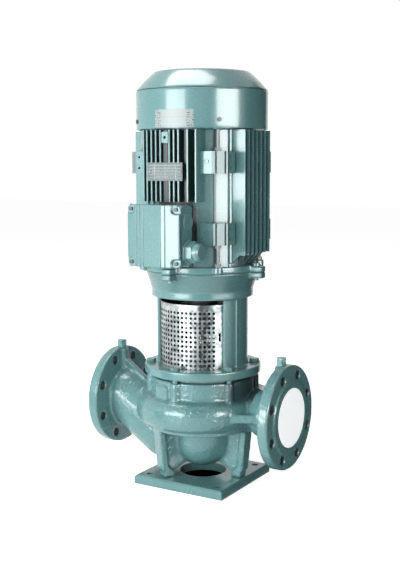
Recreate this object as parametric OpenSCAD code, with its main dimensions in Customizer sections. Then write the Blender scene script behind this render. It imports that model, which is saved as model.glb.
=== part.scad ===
// Inline centrifugal pump: a cast volute casing with in-line suction and discharge flanges
// on a square foot plate, a lantern with perforated guards, and a finned flange motor on top.
// Origin: centre of the underside of the foot plate, on the shaft axis. +Z is up the shaft,
// -X is the suction side, +X the discharge side, -Y the side of the terminal box.

/* [Foot plate] */
// Side of the square foot plate
plate_w = 218; // [200:1:260]
// Thickness of the foot plate
plate_t = 19; // [12:1:30]
// Chamfer round the top edge of the foot plate
plate_chamfer = 4; // [1:0.5:6]
// Spacing of the four foundation bolt holes
plate_hole_pitch = 170; // [150:1:180]
// Diameter of the foundation bolt holes
plate_hole_d = 14; // [10:1:16]
// Diameter of the opening in the middle of the foot plate
plate_bore = 102; // [60:1:120]

/* [Pipe flanges] */
// Height of the pipe axis above the floor
pipe_z = 165; // [160:1:180]
// Bore of both pipe flanges
pipe_bore = 100; // [90:1:104]
// Shaft axis to suction face
suction_reach = 235; // [230:1:260]
// Shaft axis to discharge face
discharge_reach = 215; // [212:1:240]
// Outside diameter of the flanges
flange_od = 220; // [210:1:235]
// Thickness of the flange plates
flange_t = 23; // [18:1:25]
// Diameter of the raised face
raised_d = 158; // [150:1:160]
// Height of the raised face
raised_h = 3; // [1:0.5:4]
// Bolt circle of the flanges
flange_pcd = 180; // [176:1:185]
// Bolt holes in each flange
flange_holes = 8; // [4:4:12]
// Diameter of the flange bolt holes
flange_hole_d = 18; // [14:1:19]
// Diameter of the cover disc let into the discharge face
disc_d = 124; // [108:1:150]
// Thickness of the cover disc
disc_t = 2; // [1:0.5:2.5]
// Screw plug across its flats
plug_af = 19; // [17:1:22]
// Height of a screw plug's head
plug_h = 18; // [10:1:22]
// Radius of the gauge bosses
gauge_boss_r = 14; // [12:0.5:16]

/* [Pump casing] */
// Wall of the casing
casing_wall = 9; // [7:0.5:10]
// Outer radius of the volute at its narrow start
volute_r = 131; // [128:1:136]
// Growth of the volute radius for each quarter turn
volute_step = 9; // [6:0.5:10]
// Half height of the volute
volute_half_h = 33; // [32:0.5:36]
// Radius that rounds the volute's edge
volute_round = 27; // [22:0.5:29]
// Outer radius of the suction bowl
bowl_r = 67; // [65:0.5:70]
// Radius of the casing's upper ring
ring_r = 112; // [110:0.5:114]
// Top of the casing's upper ring
ring_z = 236; // [232:1:240]
// Radius and height of the ledge that the legs carry
ledge_r = 117; // [114:1:124]
// Underside of the ledge
ledge_z = 124; // [120:1:130]
// Width of each leg
leg_w = 34; // [26:1:40]
// Thickness of the rib between leg and bowl
rib_t = 13; // [8:1:18]
// Bolts between lantern and casing
case_bolts = 6; // [4:1:8]
// Bolt circle radius between lantern and casing
case_bolt_r = 112; // [111:0.5:113]

/* [Lantern] */
// Radius of the lantern's lower flange
lantern_flange_r = 126; // [123:0.5:130]
// Thickness of the lantern's lower flange
lantern_flange_t = 18; // [14:1:20]
// Height of the gap over the casing ring
cover_gap = 8; // [6:0.5:9]
// Outer radius of the lantern's columns
lantern_r = 98; // [97:0.5:100]
// Wall of the lantern's columns
lantern_wall = 8; // [6:0.5:9]
// Height of the raised line down each column
column_line_h = 1.5; // [0.5:0.5:3]
// Top of the windows
window_top = 408; // [390:1:409]
// Half width of each window, in degrees
window_half = 58; // [40:1:60]
// Height of the joint between lantern and motor
motor_face_z = 466; // [462:1:480]
// Thickness of the guard sheet
guard_t = 1.5; // [1:0.25:2]
// Distance between rows of guard holes
guard_pitch = 10; // [9:0.5:14]
// Diameter of the guard holes
guard_hole_d = 5.5; // [4:0.5:6]

/* [Motor] */
// Radius of the motor's flange
motor_flange_r = 122; // [120:0.5:124]
// Thickness of the motor's flange
motor_flange_t = 14; // [12:0.5:15]
// Bolt circle radius of the motor's flange
motor_bolt_r = 130; // [129:0.5:133]
// Reach of the flange's four ears
ear_reach = 147; // [143:1:152]
// Width of the ears
ear_w = 21; // [20:0.5:24]
// Inner radius of the motor frame
frame_bore_r = 106; // [105:0.5:107]
// Outer radius of the frame's barrel
barrel_r = 113; // [112:0.5:114]
// Distance from the axis to the fin tips
fin_reach = 133; // [128:0.5:134]
// Thickness of a cooling fin
fin_t = 3; // [2:0.25:4]
// Width of the ribs between the corner blocks
corner_rib_t = 4; // [3:0.5:8]
// Length of the motor frame
frame_len = 277; // [270:1:290]
// Radius of the fan cowl
cowl_r = 138.5; // [138:0.5:142]
// Length of the cowl's straight part
cowl_straight = 80; // [76:1:90]
// Height of the cowl's cone
cowl_cone = 38; // [30:1:45]
// Radius of the cowl's flat top
cowl_top_r = 100; // [92:1:110]
// Sheet of the fan cowl
cowl_t = 2; // [1.5:0.25:2.5]
// Shaft radius in the motor bearings
motor_shaft_r = 20; // [19:0.5:20]
// Air gap between rotor and stator
air_gap = 0.6; // [0.4:0.1:1]
// Length of the laminated cores
core_len = 150; // [120:1:160]

/* [Terminal box] */
// Width and height of the terminal box lid
lid_w = 124; // [118:1:130]
// Distance from the axis to the lid's face
lid_face = 196; // [190:1:202]
// Depth of the lid
lid_t = 13; // [12:0.5:15]
// Radius of the lid's four corners
lid_round = 8; // [3:0.5:9]
// Wall of the terminal box
box_wall = 4; // [3:0.5:5]
// Depth of the terminal box behind the lid
box_depth = 42; // [36:1:46]
// Cable gland cap radius
gland_r = 20; // [16:0.5:21]
// Cable bore through the gland
gland_bore_r = 9; // [6:0.5:12]

/* [Rotating parts] */
// Radius of the impeller
impeller_r = 94; // [88:1:96]
// Number of impeller vanes
vanes = 6; // [5:1:8]
// Radius of the impeller's eye
eye_r = 48; // [44:1:49]
// Pump shaft radius at the seal
shaft_r = 14; // [12:0.5:14.5]
// Radius of the coupling's flanges
coupling_r = 48; // [44:1:60]
// Jaws on each coupling half
jaws = 3; // [3:1:4]
// Number of fan blades
fan_blades = 9; // [7:1:12]
// Radius of the cooling fan
fan_r = 124; // [110:1:128]

/* [Hidden] */
// radial clearance of a seated cylindrical fit, and gap between parts that move past each other
seat = 0.03;
run = 0.3;
smooth = 96;
fine = 48;

plate_half = plate_w / 2;
volute_z = pipe_z;
neck_r = pipe_bore / 2 + casing_wall + 1;
case_floor_z = volute_z - 15;
chamber_r = impeller_r + 4;
chamber_top = volute_z + volute_half_h;
ledge_top = volute_z - volute_half_h + 8;
core_top = ledge_z + 11;
core_r = impeller_r - 4;
lantern_z = ring_z + cover_gap;
lantern_top = lantern_z + lantern_flange_t;
gasket_t = 1;
cover_flange_r = case_bolt_r - 7;
bowl_z = ledge_z - 26;
elbow_z = bowl_z - 3;
elbow_x = -95;
frame_z = motor_face_z + motor_flange_t;
frame_top = frame_z + frame_len;
cowl_z = frame_top + 3;
block_half = 115;
block_low_z = frame_z + 47;
block_high_z = frame_top - 87;
block_h = 44;
tie_r = 127;
box_half = lid_w / 2 - 2;
box_back = lid_face - lid_t - box_depth;
box_mid_z = motor_face_z + 82;
box_low_z = box_mid_z - lid_w / 2;
box_high_z = box_mid_z + lid_w / 2;
core_mid_z = frame_z + 145;
bore_r = 66;

// Helpers

module ring(r_out, r_in, z, h) {
    translate([0, 0, z])
        difference() {
            cylinder(r = r_out, h = h, $fn = smooth);
            translate([0, 0, -1]) cylinder(r = r_in, h = h + 2, $fn = smooth);
        }
}

module disc(r, z, h) {
    translate([0, 0, z]) cylinder(r = r, h = h, $fn = smooth);
}

// copies turned about the shaft axis, angles counted from +X towards +Y
module turned(angles) {
    for (a = angles)
        rotate([0, 0, a]) children();
}

// a rod along X from x to x + h
module rod_x(x, r, h) {
    translate([x, 0, 0]) rotate([0, 90, 0]) cylinder(r = r, h = h, $fn = smooth);
}

module hexagon(af, z, h) {
    translate([0, 0, z]) cylinder(r = af / 2 / cos(30), h = h, $fn = 6);
}

function spread(count, first = 0) = [for (i = [0 : count - 1]) first + 360 * i / count];

// rounded section with half width a, half height b and exponent p (2 is an ellipse)
function section(a, b, p, n) = [for (i = [0 : n - 1])
    let (c = cos(360 * i / n), s = sin(360 * i / n))
    [a * sign(c) * pow(abs(c), 2 / p), b * sign(s) * pow(abs(s), 2 / p)]];

function mix(a, b, t) = a + (b - a) * t;
function bezier(c, t) = pow(1 - t, 3) * c[0] + 3 * t * pow(1 - t, 2) * c[1]
    + 3 * t * t * (1 - t) * c[2] + pow(t, 3) * c[3];
function bezier_dir(c, t) = 3 * pow(1 - t, 2) * (c[1] - c[0]) + 6 * t * (1 - t) * (c[2] - c[1])
    + 3 * t * t * (c[3] - c[2]);

// closed skin over a list of rings that all have the same number of points
module loft(rings) {
    n = len(rings[0]);
    m = len(rings);
    skin = [for (i = [0 : m - 2], j = [0 : n - 1])
        let (k = (j + 1) % n, a = i * n + j, b = i * n + k, c = (i + 1) * n + k, d = (i + 1) * n + j)
        each [[a, c, b], [a, d, c]]];
    polyhedron(points = [for (r = rings) each r],
        faces = concat(skin, [[for (j = [0 : n - 1]) j]], [[for (j = [n - 1 : -1 : 0]) (m - 1) * n + j]]));
}

// Pump casing

// section of the volute: a slab with a rounded rim, from radius 60 outwards
module volute_profile(r_in, r, half_h, round_r) {
    translate([r_in, -half_h]) square([r - round_r - r_in, 2 * half_h]);
    translate([r_in, round_r - half_h]) square([r - r_in, 2 * (half_h - round_r)]);
    for (s = [-1, 1])
        translate([r - round_r, s * (half_h - round_r)]) circle(r = round_r, $fn = fine);
}

// four quarter turns whose centres lie on a small square, so that the arcs run on smoothly
module volute(inset, r_in) {
    h = volute_step / 2;
    centres = [[h, -h], [-h, -h], [-h, h], [h, h]];
    rotate([0, 0, -45])
        for (q = [0 : 3])
            translate([centres[q][0], centres[q][1], volute_z])
                rotate([0, 0, -90 * q])
                    rotate_extrude(angle = 90, $fn = smooth)
                        volute_profile(r_in, volute_r + q * volute_step - inset, volute_half_h - inset,
                            volute_round - inset);
}

// the branch that leaves the volute and bends back to the pipe axis, where its radius is end_r
module outlet_branch(inset, end_r, sides) {
    k = volute_step * sqrt(0.5);
    rim = volute_r + 3 * volute_step;
    inner = impeller_r + 2;
    mid = (rim + inner) / 2;
    half = (rim - inner) / 2;
    heading = [sqrt(0.5), -sqrt(0.5)];
    start = [k + mid * sqrt(0.5), mid * sqrt(0.5)] - 4 * heading;
    finish = [discharge_reach - raised_h - flange_t - 1, 0];
    c = [start, start + 50 * heading, finish - [50, 0], finish];
    steps = 9;
    loft([for (i = [0 : steps])
        let (t = i / steps, at = bezier(c, t), along = bezier_dir(c, t), u = along / norm(along),
            a = mix(half - inset, end_r, t), b = mix(volute_half_h - inset, end_r, t))
        [for (q = section(a, b, mix(3, 2, t), sides))
            [at[0] - u[1] * q[0], at[1] + u[0] * q[0], volute_z + q[1]]]]);
}

// the inlet: level at the flange, down at a slope, and level again into the bowl
module inlet_run(r) {
    knee = [-suction_reach + 32, pipe_z];
    elbow = [elbow_x, elbow_z];
    slope = atan2(knee[1] - elbow[1], elbow[0] - knee[0]);
    translate([0, 0, pipe_z]) rod_x(-suction_reach + raised_h, r, 29);
    intersection() {
        translate([knee[0], 0, knee[1]]) sphere(r = r + 0.4, $fn = smooth);
        translate([knee[0] - 15, -r - 5, knee[1] - r - 5]) cube([r + 30, 2 * r + 10, 2 * r + 10]);
    }
    translate([knee[0], 0, knee[1]])
        rotate([0, 90 + slope, 0])
            cylinder(r = r, h = norm(elbow - knee), $fn = smooth);
    translate([elbow[0], 0, elbow[1]]) {
        sphere(r = r + 0.4, $fn = smooth);
        rod_x(0, r, -elbow_x);
    }
}

module bowl(r, top) {
    rotate_extrude($fn = smooth)
        intersection() {
            square([r + 1, top]);
            union() {
                translate([0, bowl_z]) circle(r = r, $fn = smooth);
                translate([0, bowl_z]) square([r, top - bowl_z]);
            }
        }
}

// flange plate with its raised face; x is the outer face, side is -1 or 1
module pipe_flange(reach, side) {
    translate([0, 0, pipe_z])
        mirror([side < 0 ? 1 : 0, 0, 0]) {
            rod_x(reach - raised_h - flange_t, flange_od / 2, flange_t);
            rod_x(reach - raised_h - 1, raised_d / 2, raised_h + 1);
        }
}

module flange_drilling(reach, side) {
    translate([0, 0, pipe_z])
        mirror([side < 0 ? 1 : 0, 0, 0])
            for (a = spread(flange_holes, 180 / flange_holes))
                rotate([a, 0, 0])
                    translate([0, 0, flange_pcd / 2])
                        rod_x(reach - raised_h - flange_t - 8, flange_hole_d / 2, flange_t + 16);
}

gauge_thread_r = 7;
cowl_screw_r = 2.5;
gauge_top = pipe_z + flange_od / 2 - 3;
gauge_places = [-suction_reach + 20, discharge_reach - 25];
leg_angles = [-120, 0, 120];

// a leg along +X: an outer strip that tapers to the foot, and a rib to the bowl
module leg() {
    foot_r = ledge_r - 16;
    intersection() {
        rotate([90, 0, 0])
            translate([0, 0, -leg_w / 2])
                linear_extrude(leg_w)
                    polygon([[foot_r - 25, plate_t], [foot_r, plate_t], [foot_r, plate_t + 13],
                        [foot_r + 5, plate_t + 15], [ledge_r - 2, ledge_z + 4],
                        [ledge_r - 17, ledge_z + 4], [foot_r - 9, plate_t + 24],
                        [foot_r - 22, plate_t + 12]]);
        translate([foot_r - 30, 0, 0])
            rotate([90, 0, 90])
                linear_extrude(60)
                    polygon([[-leg_w / 2 + 3, plate_t - 1], [leg_w / 2 - 3, plate_t - 1],
                        [leg_w / 2, ledge_z + 5], [-leg_w / 2, ledge_z + 5]]);
    }
    rotate([90, 0, 0])
        translate([0, 0, -rib_t / 2])
            linear_extrude(rib_t)
                polygon([[bowl_r - 25, core_top + 1], [bowl_r - 45, bowl_z - bowl_r + 25],
                    [foot_r - 22, plate_t + 8], [foot_r - 4, plate_t + 8], [ledge_r - 6, ledge_z + 4],
                    [ledge_r - 6, core_top + 1]]);
}

// the sloping stiffening rib between inlet and casing, with its framed panel on both sides
module inlet_rib() {
    x_boss = gauge_places[0] + gauge_boss_r - 2;
    drop = 0.74;
    top_z = gauge_top - 22;
    x_ring = -ring_r + 4;
    rotate([90, 0, 0]) {
        translate([0, 0, -6])
            linear_extrude(12)
                polygon([[x_boss, top_z], [x_ring, top_z - drop * (x_ring - x_boss)],
                    [x_ring, pipe_z], [x_boss, pipe_z + neck_r - 25]]);
        translate([0, 0, -7.5])
            linear_extrude(15)
                difference() {
                    panel_outline(x_boss + 2, top_z, drop, 52, 33, 0);
                    panel_outline(x_boss + 2, top_z, drop, 52, 33, 3);
                }
    }
}

// a parallelogram that follows the slope of the rib's top edge
module panel_outline(x, z, drop, w, h, inset) {
    polygon([[x + inset, z - drop * (2 + inset) - inset],
        [x + w - inset, z - drop * (2 + w - inset) - inset],
        [x + w - 11 - inset, z - drop * (w - 9 - inset) - h + 3 + inset],
        [x + inset, z - drop * (2 + inset) - h + 3 + inset]]);
}

module pump_casing() color("#7fb5b0") {
    difference() {
        union() {
            // the floor round the bowl is cored out from below
            difference() {
                union() {
                    disc(ledge_r, ledge_z, ledge_top - ledge_z);
                    volute(0, 60);
                    disc(ring_r, ledge_z + 2, ring_z - ledge_z - 2);
                }
                ring(core_r, bowl_r + 5, ledge_z - 1, core_top - ledge_z + 1);
            }
            outlet_branch(0, neck_r - 0.5, 32);
            turned(spread(case_bolts, -90))
                translate([case_bolt_r, 0, 0]) disc(10, chamber_top - 2, ring_z - chamber_top + 2);
            inlet_run(neck_r);
            bowl(bowl_r, ledge_z + 4);
            pipe_flange(suction_reach, -1);
            pipe_flange(discharge_reach, 1);
            translate([0, 0, pipe_z])
                rod_x(discharge_reach - raised_h - flange_t - 12, neck_r, 14);
            for (x = gauge_places)
                translate([x, 0, 0]) disc(gauge_boss_r, pipe_z + neck_r - 15, gauge_top - pipe_z - neck_r + 15);
            inlet_rib();
            // square lug under the ring, beside the volute's tongue
            rotate([0, 0, -109])
                translate([ring_r - 10, -19, chamber_top - 2]) cube([15, 38, ring_z - chamber_top - 10]);
            // level rib between volute and discharge neck
            translate([0, 0, pipe_z - 9])
                linear_extrude(18)
                    polygon([[80, -50], [96, -82], [158, -55], [discharge_reach - 26, -42], [150, -10]]);
            turned(leg_angles) leg();
        }
        // impeller chamber, volute channel and both passages
        disc(chamber_r, case_floor_z, ring_z);
        volute(casing_wall, impeller_r);
        outlet_branch(casing_wall, pipe_bore / 2 + 1, 24);
        translate([0, 0, pipe_z])
            rod_x(discharge_reach - raised_h - flange_t - 5, pipe_bore / 2, 60);
        // seat of the cover disc
        translate([0, 0, pipe_z]) rod_x(discharge_reach - disc_t, disc_d / 2 + seat, 10);
        inlet_run(pipe_bore / 2);
        translate([0, 0, pipe_z]) rod_x(-suction_reach - 5, pipe_bore / 2, 30);
        bowl(bowl_r - casing_wall - 1, bowl_z + 10);
        disc(eye_r + 4, bowl_z, case_floor_z);
        disc(eye_r + 12, case_floor_z - 8, 20);
        flange_drilling(suction_reach, -1);
        flange_drilling(discharge_reach, 1);
        turned(spread(case_bolts, -90))
            translate([case_bolt_r, 0, 0]) disc(6 + seat, ring_z - 24, 30);
        // tapped gauge bosses, spot-faced into the flange rims
        for (x = gauge_places)
            translate([x, 0, 0]) {
                disc(gauge_thread_r + seat, gauge_top - 14, 20);
                disc(gauge_boss_r, gauge_top, 10);
            }
        turned(leg_angles)
            translate([ledge_r - 28, 0, 0]) disc(4 + seat, plate_t - 1, 11);
    }
}

module base_plate() color("#78aaa6") {
    difference() {
        union() {
            translate([-plate_half, -plate_half, 0]) cube([plate_w, plate_w, plate_t - plate_chamfer]);
            // chamfered upper edge, as the overlap of two sloped bars
            intersection() {
                rotate([90, 0, 0]) translate([0, 0, -plate_half]) linear_extrude(plate_w) plate_edge();
                rotate([90, 0, 90]) translate([0, 0, -plate_half]) linear_extrude(plate_w) plate_edge();
            }
        }
        disc(plate_bore / 2, -1, plate_t + 2);
        for (x = [-1, 1], y = [-1, 1])
            translate([x * plate_hole_pitch / 2, y * plate_hole_pitch / 2, 0])
                disc(plate_hole_d / 2, -1, plate_t + 2);
        turned(leg_angles)
            translate([ledge_r - 28, 0, 0]) {
                disc(4.5, -1, plate_t + 2);
                disc(7.5, -1, 10);
            }
    }
}

module plate_edge() {
    polygon([[-plate_half, 0], [plate_half, 0], [plate_half, plate_t - plate_chamfer],
        [plate_half - plate_chamfer, plate_t], [plate_chamfer - plate_half, plate_t],
        [-plate_half, plate_t - plate_chamfer]]);
}

// cap screws from below that hold the legs on the foot plate
module foot_screws() color("#8b8f90") {
    turned(leg_angles)
        translate([ledge_r - 28, 0, 0])
            difference() {
                union() {
                    disc(6.5, 1, 8);
                    disc(4, 9, plate_t);
                }
                hexagon(6, 0, 5);
            }
}

module wear_ring() color("#b08d57") {
    ring(eye_r + 12 - seat, eye_r + 6 + run, case_floor_z - 8, 9);
}

module casing_gasket() color("#4a4a48") {
    ring(cover_flange_r, chamber_r + 1, ring_z, gasket_t);
}

module casing_cover() color("#7aaaa5") {
    difference() {
        union() {
            disc(chamber_r - seat, chamber_top - 8, ring_z - chamber_top + 8);
            disc(chamber_r - seat, ring_z - 1, gasket_t + 1);
            disc(cover_flange_r, ring_z + gasket_t, cover_gap - gasket_t);
        }
        disc(27, chamber_top - 10, ring_z - chamber_top + 10);
        disc(22, ring_z - 2, cover_gap);
        disc(shaft_r + 2, ring_z, 20);
        turned(spread(4, 45)) translate([48, 0, 0]) disc(3 + seat, lantern_z - 12, 20);
    }
}

module seal_seat() color("#d8d4cc") {
    ring(22 - seat, shaft_r + 1, ring_z - 4, 10);
}

// Lantern

module lantern() color("#7fb5b0") {
    difference() {
        union() {
            disc(lantern_flange_r, lantern_z, lantern_flange_t);
            disc(lantern_r, lantern_z, motor_face_z - lantern_z - 1);
            // raised line down each column, where the halves of the mould meet
            turned([-12, 168, 12, 192])
                translate([lantern_r - 5, -1.5, lantern_z + 1]) cube([5 + column_line_h, 3, window_top - lantern_z + 2]);
            disc(lantern_r + 11, window_top + 2, 16);
            translate([0, 0, window_top + 18])
                cylinder(r1 = lantern_r + 11, r2 = motor_flange_r - 1.5, h = motor_face_z - window_top - 21, $fn = smooth);
            disc(motor_flange_r - 1.5, motor_face_z - 3, 3);
            ears(motor_face_z - 13, 13);
        }
        disc(60, lantern_z - 1, 20);
        disc(lantern_r - lantern_wall, lantern_top, motor_face_z - lantern_top - 12);
        disc(95 + seat, motor_face_z - 13, 20);
        turned([-90 - window_half, 90 - window_half])
            rotate_extrude(angle = 2 * window_half, $fn = smooth)
                translate([lantern_r - lantern_wall - 10, lantern_top]) square([40, window_top - lantern_top]);
        turned(spread(case_bolts, -90)) translate([case_bolt_r, 0, 0]) disc(6.5, lantern_z - 1, 30);
        turned(spread(4)) translate([motor_bolt_r, 0, 0]) disc(5 + seat, motor_face_z - 20, 30);
    }
}

// four bolt ears; rectangular bars that run inwards to the flange
module ears(z, h) {
    for (a = spread(4))
        rotate([0, 0, a])
            translate([motor_flange_r - 16, -ear_w / 2, z]) cube([ear_reach - motor_flange_r + 16, ear_w, h]);
}

module lantern_bolts() color("#7fa9a6") {
    turned(spread(case_bolts, -90))
        translate([case_bolt_r, 0, 0]) {
            hexagon(18, lantern_top, 7.5);
            disc(6, ring_z - 22, lantern_top - ring_z + 22);
        }
}

module bearing_housing() color("#7aaaa5") {
    difference() {
        union() {
            disc(56, lantern_z, 8);
            disc(40, lantern_z, 52);
        }
        disc(shaft_r + 3, lantern_z - 1, 60);
        disc(31 + seat, lantern_z + 24, 40);
        disc(27, lantern_z + 18, 10);
        turned(spread(4, 45)) translate([48, 0, 0]) disc(3.5, lantern_z - 1, 20);
    }
}

module housing_screws() color("#8b8f90") {
    turned(spread(4, 45))
        translate([48, 0, 0]) {
            hexagon(10, lantern_z + 8, 4);
            disc(3, lantern_z - 10, 18);
        }
}

// a sheet bent to an arc, drilled row by row; it snaps in behind the columns
module guard(direction) {
    r_out = lantern_r - lantern_wall - seat;
    tall = window_top - lantern_top - 10;
    half = window_half + 14;
    column = 6.2;
    columns = 17;
    rows = floor((tall - 10) / guard_pitch);
    first = 45.7;
    rotate([0, 0, direction])
        difference() {
            rotate([0, 0, -half])
                rotate_extrude(angle = 2 * half, $fn = smooth)
                    translate([r_out - guard_t, lantern_top]) square([guard_t, tall]);
            for (i = [0 : columns - 1], j = [0 : rows - 1])
                rotate([0, 0, first - i * column])
                    translate([0, 0, lantern_top + 8.5 + j * guard_pitch])
                        rod_x(r_out - 5, guard_hole_d / 2, 10);
            // catch slot beside the holes
            rotate([0, 0, first + 8.3])
                translate([r_out - 5, -guard_hole_d / 2, lantern_top + tall / 2 - 9])
                    cube([10, guard_hole_d, 18]);
        }
}

module guard_front() color("#c9cfd1") guard(-90);

module guard_rear() color("#c9cfd1") guard(90);

module gauge_plug(x) {
    translate([x, 0, 0]) {
        hexagon(plug_af, gauge_top, plug_h);
        disc(gauge_thread_r, gauge_top - 12, 13);
    }
}

module suction_gauge_plug() color("#8fb3b0") gauge_plug(gauge_places[0]);

module discharge_gauge_plug() color("#8fb3b0") gauge_plug(gauge_places[1]);

module outlet_cover() color("#f2f2ef") {
    translate([0, 0, pipe_z]) rod_x(discharge_reach - disc_t, disc_d / 2, disc_t);
}

// Motor housing

// fins along +X from the barrel, at the given places across
module fins(places, reach) {
    for (p = places)
        translate([barrel_r - 30, p - fin_t / 2]) square([reach - barrel_r + 30, fin_t]);
}

side_fins = [for (i = [-3 : 3]) i * 17.8];
front_fins = [-62, -53.5, -42.8, -32.1, -21.4, 0, 10.7, 21.4, 42.8, 62];
earth_x = -9;
earth_boss = 15;

module frame_section(groups) {
    difference() {
        union() {
            circle(r = barrel_r, $fn = smooth);
            if (groups) {
                for (a = [0, 180]) rotate(a) fins(side_fins, fin_reach);
                rotate(90) fins(side_fins, fin_reach);
            }
            // two ribs between the blocks of each corner
            for (a = concat(spread(4, 43.5), spread(4, 60)))
                rotate(a) translate([barrel_r - 20, -corner_rib_t / 2]) square([25, corner_rib_t]);
        }
        circle(r = frame_bore_r, $fn = smooth);
    }
}

// mounting block with a pad on two sides and a fluted corner; one pad has a plugged hole, the
// other two tapped ones
module corner_block() {
    inner = block_half - 51;
    cut = block_half - 21;
    pad_mid = (inner + cut) / 2;
    corner_r = (block_half + cut) * sqrt(0.5);
    flute = 3.5;
    flute_y = (block_half - cut) * sqrt(0.5) - 1.5 * flute;
    difference() {
        linear_extrude(block_h)
            difference() {
                polygon([[inner, cut - 30], [inner + 25, inner], [block_half, inner], [block_half, cut],
                    [cut, block_half], [inner, block_half]]);
                circle(r = frame_bore_r + 2, $fn = smooth);
                for (s = [-1, 1])
                    rotate(45) translate([corner_r - 6, s * flute_y - flute / 2]) square([10, flute]);
            }
        translate([block_half, pad_mid, block_h * 0.55])
            difference() {
                rod_x(-1, 5.5, 3);
                rod_x(-2, 4, 5);
            }
        for (z = [0.25, 0.75])
            translate([pad_mid + 4, block_half, block_h * z])
                rotate([0, 0, 90]) rod_x(-9, 2.5, 12);
    }
}

module motor_frame() color("#7fb5b0") {
    difference() {
        union() {
            translate([0, 0, frame_z]) linear_extrude(frame_len) frame_section(false);
            translate([0, 0, frame_z + 4]) linear_extrude(frame_len - 4) frame_section(true);
            // fins over the terminal box
            translate([0, 0, box_high_z + 3])
                linear_extrude(frame_top - box_high_z - 3)
                    difference() {
                        rotate(-90) {
                            fins(front_fins, fin_reach - 3);
                            translate([barrel_r - 30, -15.7]) square([43, 10]);
                        }
                        circle(r = frame_bore_r + 1, $fn = smooth);
                    }
            // earth boss between the front fins
            translate([earth_x - earth_boss / 2, 1 - fin_reach, frame_top - 26])
                cube([earth_boss, fin_reach - barrel_r + 3, 22]);
            for (a = spread(4), z = [block_low_z, block_high_z])
                rotate([0, 0, a]) translate([0, 0, z]) corner_block();
            // pad that carries the terminal box
            difference() {
                translate([-49, -barrel_r - 7, box_low_z + 6]) cube([98, 40, lid_w - 12]);
                disc(frame_bore_r + 1, box_low_z, lid_w);
            }
        }
        // the lower fin ends are cut back over the flange screws
        translate([0, 0, frame_z])
            rotate_extrude($fn = smooth)
                polygon([[barrel_r + 3, -1], [fin_reach + 40, -1], [fin_reach + 40, 24],
                    [fin_reach - 2, 24], [barrel_r + 3, 6]]);
        turned(spread(4, 45))
            translate([tie_r, 0, 0]) {
                disc(4 + seat, block_low_z - 1, 26);
                disc(4 + seat, block_high_z + block_h - 26, 27);
            }
        translate([0, -box_back - 5, box_mid_z]) rotate([-90, 0, 0]) cylinder(r = 16, h = 60, $fn = fine);
        translate([earth_x, -fin_reach, frame_top - 15]) rotate([-90, 0, 0]) cylinder(r = 3, h = 14, $fn = fine);
    }
}

// drive end shield: flange, register, bearing seat and four ears
module de_shield() color("#7fb5b0") {
    difference() {
        union() {
            disc(motor_flange_r, motor_face_z, motor_flange_t);
            disc(95, motor_face_z - 4, 5);
            disc(frame_bore_r - seat, motor_face_z + 2, motor_flange_t + 6);
            disc(50, motor_face_z + 2, motor_flange_t + 26);
            ears(motor_face_z, motor_flange_t - 2);
            turned(spread(4, 45)) translate([tie_r, 0, 0]) disc(10, motor_face_z + 1, motor_flange_t);
        }
        disc(23, motor_face_z - 10, 60);
        disc(40 + seat, frame_z + 4, 40);
        disc(35, frame_z - 1, 20);
        ring(88, 56, frame_z - 2, 40);
        turned(spread(4)) translate([motor_bolt_r, 0, 0]) disc(5.5, motor_face_z - 1, 30);
        turned(spread(4, 45)) translate([tie_r, 0, 0]) disc(4 + seat, motor_face_z + 4, 30);
    }
}

// non drive end shield: disc, bearing seat and four arms that carry the cowl
module nde_shield() color("#7fb5b0") {
    arm_r = cowl_r - cowl_t - seat;
    difference() {
        union() {
            disc(barrel_r, frame_top, 10);
            disc(frame_bore_r - seat, frame_top - 6, 8);
            disc(50, frame_top - 24, 30);
            turned(spread(4, 45))
                intersection() {
                    translate([barrel_r - 12, -11, frame_top]) cube([40, 22, 33]);
                    disc(arm_r, frame_top - 1, 40);
                }
        }
        disc(motor_shaft_r - 2, frame_top - 30, 60);
        disc(40 + seat, frame_top - 25, 21);
        ring(88, 56, frame_top - 10, 12);
        turned(spread(4, 45)) {
            translate([tie_r, 0, 0]) disc(4.5, frame_top - 1, 40);
            translate([0, 0, cowl_z + 16]) rod_x(arm_r - 8, cowl_screw_r, 20);
        }
    }
}

module flange_screws() color("#8b8f90") {
    turned(spread(4))
        translate([motor_bolt_r, 0, 0])
            difference() {
                union() {
                    disc(8, frame_z - 2, 6);
                    disc(5, motor_face_z - 18, motor_flange_t + 18);
                }
                hexagon(7, frame_z, 5);
            }
}

// studs with nuts between the drive end shield and the lower blocks
module de_shield_screws() color("#8b8f90") {
    turned(spread(4, 45))
        translate([tie_r, 0, 0]) {
            disc(4, motor_face_z + 6, block_low_z + 22 - motor_face_z - 6);
            hexagon(13, block_low_z - 7, 7 - seat);
            hexagon(13, frame_z + 1 + seat, 7);
        }
}

// long screws through the arms, with a nut on each upper block
module nde_shield_screws() color("#8b8f90") {
    turned(spread(4, 45))
        translate([tie_r, 0, 0]) {
            disc(4, block_high_z + block_h - 22, frame_top + 33 - block_high_z - block_h + 22);
            hexagon(13, block_high_z + block_h + seat, 7);
            hexagon(13, frame_top + 33, 6);
        }
}

module cowl_profile(inset) {
    polygon([[0, cowl_z - 1], [cowl_r - inset, cowl_z - 1], [cowl_r - inset, cowl_z + cowl_straight - 0.4 * inset],
        [cowl_top_r - 0.6 * inset, cowl_z + cowl_straight + cowl_cone - inset],
        [0, cowl_z + cowl_straight + cowl_cone - inset]]);
}

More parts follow.
